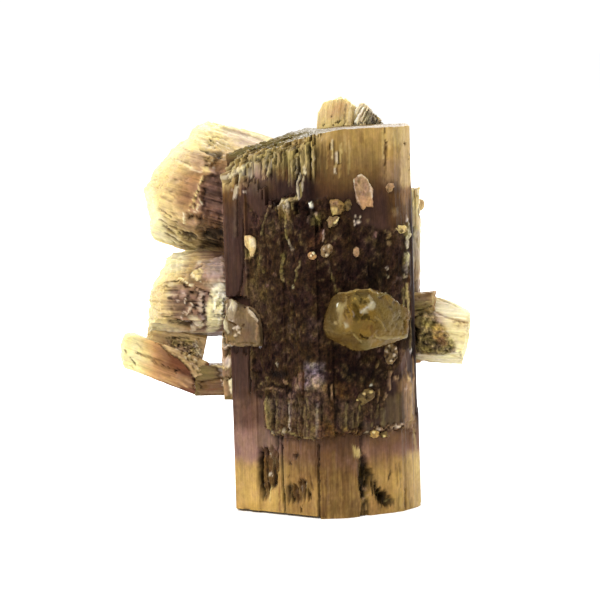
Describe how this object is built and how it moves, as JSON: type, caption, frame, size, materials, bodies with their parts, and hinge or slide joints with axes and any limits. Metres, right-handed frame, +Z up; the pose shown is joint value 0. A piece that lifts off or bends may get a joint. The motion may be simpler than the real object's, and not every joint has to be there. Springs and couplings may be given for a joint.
{
  "type": "aragonite crystal cluster",
  "caption": "Upright pseudo-hexagonal aragonite crystal with smaller crystals grown through its sides, top and back; stands on its flat end.",
  "frame": {"origin": "centre of the main crystal's flat lower end, which the cluster stands on", "axes": "+Z up along the main crystal's axis, -Y towards the front with the clear crystal, +X to the right seen from the front"},
  "size_m": [0.0426, 0.0355, 0.048],
  "materials": {
    "aragonite": "translucent, vitreous to dull; cream and honey at the ends, purple-brown in the middle, with dark crust"
  },
  "bodies": {
    "root": {"aragonite_cluster": "aragonite"}
  },
  "joints": []
}
